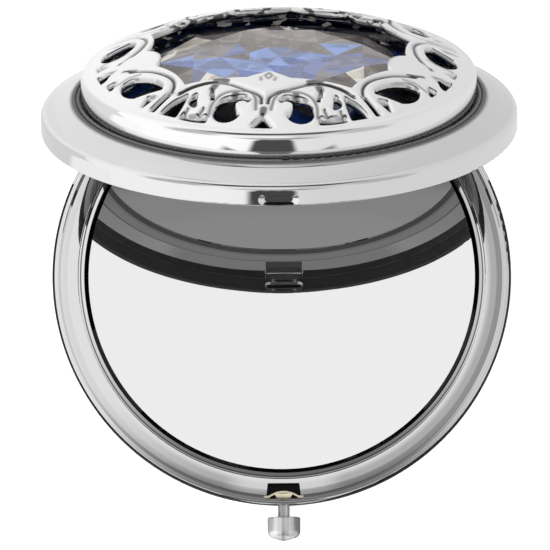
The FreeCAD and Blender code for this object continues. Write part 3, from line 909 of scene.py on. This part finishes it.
# %% Cut the grid at the outlines
def half_motif(kind, beside):
    """The points and cells of the cover from a motif's axis to its border with the motif beside it."""
    angles = np.radians(np.linspace(0, motif_half, columns + 1))
    radii = np.linspace(grid_start, eaves.real, rows + 1)
    grid = radii[None, :] * np.exp(1j * angles[:, None])
    metal = np.minimum(pierced(grid, kind), pierced(grid, beside, across))
    spots = {}
    cells = []

    def crossing(here, after):
        first, second = sorted((here, after))
        share = metal[first] / (metal[first] - metal[second])
        spots.setdefault((first, second), (grid[first] + share * (grid[second] - grid[first]), 0.0))
        return (first, second)

    for i in range(columns):
        for j in range(rows):
            ring = ((i, j), (i, j + 1), (i + 1, j + 1), (i + 1, j))
            shape = []
            for here, after in zip(ring, ring[1:] + ring[:1]):
                if metal[here] > 0:
                    spots.setdefault(here, (grid[here], metal[here]))
                    shape.append(here)
                if (metal[here] > 0) != (metal[after] > 0):
                    shape.append(crossing(here, after))
            if len(shape) > 2:
                cells.append(shape)
    return spots, cells, angles


print("grid of", columns, "by", rows, "cells for each half")

# %% [markdown]
# ### The casting as a closed mesh
#
# The relief is the top. A Solidify modifier would copy it to the underside, but a cast cover is plain
# below, so the lower skin is made on its own. Walls close the openings, and the rim goes round outside.

# %% Close the halves
def rim_section():
    """Radius and height down the outside of the rim and up its inside."""
    foot = complex(29.0, 3.2) * mm
    bulge = complex(28.70, 4.04) * mm
    base = [(29.0, 0.15), (28.97, 0.06), (28.9, 0.0), (27.9, 0.0), (27.8, 0.1), (27.8, 2.7)]
    return [(p.real, p.imag) for p in arc(eaves, bulge, foot) + [complex(*point) * mm for point in base]]


def between(first, second):
    """Quads between two rows of vertices."""
    return [[p, q, s, r] for p, r, q, s in zip(first, first[1:], second, second[1:])]


def casting(name, kind, beside):
    """The half motif as a mesh: relief on top, plain below, walls in the openings, and the rim."""
    spots, cells, angles = half_motif(kind, beside)
    keys = list(spots)
    number = {key: index for index, key in enumerate(keys)}
    points = np.array([spots[key][0] for key in keys])
    metal = np.array([spots[key][1] for key in keys])
    plain = np.interp(abs(points), dome.real[::-1], dome.imag[::-1])
    rise, crease_shade = relief(points, metal, kind, beside)
    top = plain + rise
    low = np.minimum(plain - cover_thickness, top - least_thickness)
    vertices = [(p.real, p.imag, h) for p, h in zip(points, top)]
    vertices += [(p.real, p.imag, h) for p, h in zip(points, low)]
    under = len(keys)
    faces = [[number[key] for key in cell] for cell in cells]
    faces += [[number[key] + under for key in cell][::-1] for cell in cells]
    tops = faces[:len(cells)]
    sides = dict.fromkeys(pair for face in tops for pair in zip(face, face[1:] + face[:1]))
    opened = [(a, b) for a, b in sides if (b, a) not in sides]
    edge_spots = {number[key] for key in keys if not isinstance(key[0], int)}
    faces += [[b, a, a + under, b + under] for a, b in opened if a in edge_spots and b in edge_spots]
    last = [number[(i, rows)] for i in range(columns + 1)]
    previous = last
    for radius, height in rim_section():
        fresh = list(range(len(vertices), len(vertices) + columns + 1))
        vertices += [(radius * math.cos(a), radius * math.sin(a), height) for a in angles]
        faces += between(previous, fresh)
        previous = fresh
    faces += between(previous, [index + under for index in last])
    mesh = bpy.data.meshes.new(name)
    mesh.from_pydata(vertices, [], faces)
    # The painted crease shade rides on the top skin as an attribute
    shade = np.zeros(len(vertices))
    shade[:under] = crease_shade
    mesh.attributes.new("crease_shade", "FLOAT", "POINT").data.foreach_set("value", shade)
    print(name, len(vertices), "vertices", len(faces), "faces")
    return put_in_scene(name, mesh)


halves = {
    "scroll_by_leaf": casting("scroll_by_leaf", "scroll", "leaf"),
    "leaf_by_scroll": casting("leaf_by_scroll", "leaf", "scroll"),
    "leaf_by_leaf": casting("leaf_by_leaf", "leaf", "leaf"),
}

# %% [markdown]
# ### The ring of motifs
#
# Three half motifs repeat all round, each beside its mirror image. An Array modifier cannot mix motifs, so
# Geometry Nodes do it: the tree turns and mirrors the halves, welds their borders, lifts the ring to its
# seat and swings it with the lid. A mirrored copy is inside out, so its faces are flipped before the weld.

# %% Repeat the halves round the cover
ring_group = bpy.data.node_groups.new("scrollwork_ring", "GeometryNodeTree")
ring = Tree(ring_group)


def ring_socket(name, kind, way="INPUT"):
    return ring_group.interface.new_socket(name=name, in_out=way, socket_type="NodeSocket" + kind)


ring_inputs = {name: ring_socket(name, "Float") for name in ("Turn", "Opening", "Seat", "Weld")}
ring_inputs["Finish"] = ring_socket("Finish", "Material")
ring_socket("Geometry", "Geometry", "OUTPUT")
given = ring.nodes.new("NodeGroupInput")
turn_in, opening_in, seat_in, weld_in, finish_in = (Wire(ring, given.outputs[i]) for i in range(5))


def turned(geometry, axis, angle):
    """Geometry turned about X or Z by an angle that may be a wire."""
    euler = ring.node("CombineXYZ", {axis: angle})
    rotation = ring.node("FunctionNodeEulerToRotation", {"Euler": euler})
    return ring.node("GeometryNodeTransform", {"Geometry": geometry, "Rotation": rotation})


def moved(geometry, **shift):
    offset = ring.node("CombineXYZ", shift)
    return ring.node("GeometryNodeTransform", {"Geometry": geometry, "Translation": offset})


def mirrored(geometry):
    flat = ring.node("GeometryNodeTransform", {"Geometry": geometry, "Scale": (1, -1, 1)})
    return ring.node("GeometryNodeFlipFaces", {"Mesh": flat})


drawn = {}
for name, piece in halves.items():
    half = ring.node("GeometryNodeObjectInfo", {"Object": piece}, out=4)
    drawn[name] = (half, mirrored(half))
gathered = ring.nodes.new("GeometryNodeJoinGeometry")
count = len(motif_order)
for index, kind in enumerate(motif_order):
    for side, step in ((0, 1), (1, -1)):
        beside = motif_order[(index + step) % count]
        copy = turned(drawn[kind + "_by_" + beside][side], "Z", 2 * math.pi * index / count)
        ring.links.new(copy.socket, gathered.inputs[0])
to_weld = {"Geometry": Wire(ring, gathered.outputs[0]), "Distance": weld_in}
welded = ring.node("GeometryNodeMergeByDistance", to_weld)
seated = moved(turned(welded, "Z", turn_in), Z=seat_in)
on_axis = moved(seated, Y=-hinge_axis.y, Z=-hinge_axis.z)
swung = moved(turned(on_axis, "X", opening_in * -1), Y=hinge_axis.y, Z=hinge_axis.z)
smooth = ring.node("GeometryNodeSetShadeSmooth", {"Geometry": swung})
real = ring.node("GeometryNodeRealizeInstances", {"Geometry": smooth})
dressed = ring.node("GeometryNodeSetMaterial", {"Geometry": real, "Material": finish_in})
ring.node("NodeGroupOutput", {0: dressed})
print("ring has", len(ring.nodes), "nodes")

# %% [markdown]
# ### Making the cover
#
# A modifier on an empty carrier runs the tree. It could stay live, but the part needs a plain mesh that
# rides with the lid, so the result is kept and the helpers go.

# %% Make the cover
front = math.radians(270)
cover_turn = math.radians(-5)
lid_seat = hinge_axis.z + 4.4 * mm
weld_distance = 0.01 * mm
carrier = put_in_scene("carrier", bpy.data.meshes.new("carrier"))
maker = carrier.modifiers.new("scrollwork", "NODES")
maker.node_group = ring_group
settings = {"Turn": front + cover_turn, "Opening": opening, "Seat": lid_seat, "Weld": weld_distance,
            "Finish": finishes["plated_filigree"]}
for name, value in settings.items():
    maker[ring_inputs[name].identifier] = value
evaluated = carrier.evaluated_get(bpy.context.evaluated_depsgraph_get())
cover_mesh = bpy.data.meshes.new_from_object(evaluated)
bpy.data.objects.remove(carrier)
for piece in halves.values():
    bpy.data.objects.remove(piece)
cover = put_in_scene("scrollwork_cover", cover_mesh)
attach(cover, "lid")
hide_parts("filigree_cover")


def tell(name, mesh):
    """Prints the faces, the open edges and the volume of a mesh."""
    check = bmesh.new()
    check.from_mesh(mesh)
    loose = sum(not edge.is_manifold for edge in check.edges)
    volume = round(check.calc_volume() / mm ** 3)
    print(name, "has", len(check.faces), "faces,", loose, "open edges and", volume, "mm3")
    check.free()


tell("cover", cover_mesh)

# %% [markdown]
# ## The stone
#
# A flat-backed brilliant: an eight-sided table, stars, kites and a girdle. Back facets could be cut too,
# but this stone has none, as it lies on coloured foil. So the fields that would shine through the table
# are drawn on it, flat.

# %% Lay out the facets
stone_radius = 25.0
stone_floor = 1.35
girdle = 2.35
table_height = 6.3
table_inset = 12.6
star_inset = 7.4
inner_reach = 4.6
belt_reach = 8.4
sixteenth = math.pi / 8
table_corner = (stone_radius - table_inset) / math.cos(sixteenth)
star_reach = stone_radius - star_inset
star_share = (star_reach * math.cos(sixteenth) - table_corner) / (stone_radius - table_corner)
star_height = table_height - (table_height - girdle) * star_share
edge_splits = (0, 0.28, 0.40, 0.63, 1)


def ring_points(radius, height, phase):
    """Eight points of the stone; an odd phase gives the corners of the table, an even one its sides."""
    angles = [sixteenth * (2 * i + phase) for i in range(8)]
    return [Vector((radius * math.cos(a), radius * math.sin(a), height)) for a in angles]


heart = Vector((0, 0, table_height))
inner = ring_points(inner_reach, table_height, 1)
belt = ring_points(belt_reach, table_height, 2)
corners = ring_points(table_corner, table_height, 1)
stars = ring_points(star_reach, star_height, 2)
mains = ring_points(stone_radius, girdle, 1)
breaks = ring_points(stone_radius, girdle, 2)
facets = []
for i in range(8):
    j = (i + 1) % 8
    before = i - 1
    side = [corners[i].lerp(corners[j], t) for t in edge_splits]
    facets += [(heart, inner[i], inner[j]), (inner[j], inner[i], belt[i]), (inner[j], belt[i], belt[j])]
    facets += [(belt[i], corners[j], belt[j])]
    facets += [(belt[i], a, b) for a, b in zip(side[:-1], side[1:])]
    facets += [(a, stars[i], b) for a, b in zip(side[:-1], side[1:])]
    kite = (corners[i], stars[before], mains[i], stars[i])
    middle = sum(kite, Vector()) / 4
    facets += [(a, b, middle) for a, b in zip(kite, kite[1:] + kite[:1])]
    facets += [(stars[i], mains[i], breaks[i]), (stars[i], breaks[i], mains[j])]
    low = [Vector((p.x, p.y, stone_floor)) for p in (mains[i], breaks[i], mains[j])]
    facets += [(mains[i], low[0], low[1], breaks[i]), (breaks[i], low[1], low[2], mains[j])]
floor_ring = [Vector((p.x, p.y, stone_floor)) for pair in zip(mains, breaks) for p in pair]
facets.append(tuple(floor_ring[::-1]))
print("stone has", len(facets), "facets")

# %% [markdown]
# ### A colour for every facet
#
# Each facet could have a material, but one colour attribute holds them all. An ellipse towards the front
# decides how likely blue is. Round it the facets are taupe, with a few painted pale flashes, and at the
# rim painted shade makes them almost black. A seeded draw picks the shade, so the stone is always the same.

# %% Colour the facets by their place
draw = np.random.default_rng(11)
blues = ((0.17, 0.26, 0.54), (0.075, 0.125, 0.36), (0.12, 0.16, 0.34), (0.17, 0.18, 0.29))
taupes = ((0.23, 0.205, 0.19), (0.165, 0.145, 0.13), (0.19, 0.175, 0.18), (0.12, 0.105, 0.10))
rim_shade_colours = ((0.006, 0.010, 0.035), (0.010, 0.012, 0.020), (0.012, 0.035, 0.16), (0.020, 0.017, 0.013))
painted_flash = (0.74, 0.70, 0.62)
dark_reach = 18.5
flash_reach = 11.5
flash_above = 0.84
blue_centre = -4.0
blue_width = 17.5
blue_depth = 9.5


def facet_colour(points):
    """Blue near the middle and the front, taupe around it, painted shade at the rim, with rare painted flashes."""
    centre = sum(points, Vector()) / len(points)
    reach = math.hypot(centre.x, centre.y)
    chance = draw.random()
    shade = draw.integers(4)
    blueness = 1.0 - (centre.x / blue_width) ** 2 - ((centre.y - blue_centre) / blue_depth) ** 2
    if reach > dark_reach:
        return rim_shade_colours[shade]
    if reach > flash_reach and chance > flash_above:
        return painted_flash
    return blues[shade] if chance < blueness else taupes[shade]


corner_index = {}
faces = []
colours = []
for points in facets:
    keys = [tuple(round(v, 5) for v in point) for point in points]
    faces.append([corner_index.setdefault(key, len(corner_index)) for key in keys])
    colours += [(*facet_colour(points), 1.0)] * len(points)
shut = Matrix.Translation(Vector((0, 0, lid_seat))) @ Matrix.Scale(mm, 4)
swing = Matrix.Translation(hinge_axis) @ Matrix.Rotation(-opening, 4, "X") @ Matrix.Translation(-hinge_axis)
stone_mesh = bpy.data.meshes.new("cut_stone")
stone_mesh.from_pydata([swing @ shut @ Vector(p) for p in corner_index], [], faces)
paint_layer = stone_mesh.attributes.new("facet", "FLOAT_COLOR", "CORNER")
paint_layer.data.foreach_set("color", [value for colour in colours for value in colour])
stone_mesh.materials.append(finishes["stone_glass"])
stone = put_in_scene("cut_stone", stone_mesh)
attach(stone, "lid")
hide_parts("stone")
tell("stone", stone_mesh)

# %% [markdown]
# ## Closing the frame
#
# A filmic view would grey the white ground, so the colours are shown as they are.

# %% Close the frame
bpy.context.scene.view_settings.view_transform = "Standard"
print("view transform:", bpy.context.scene.view_settings.view_transform)
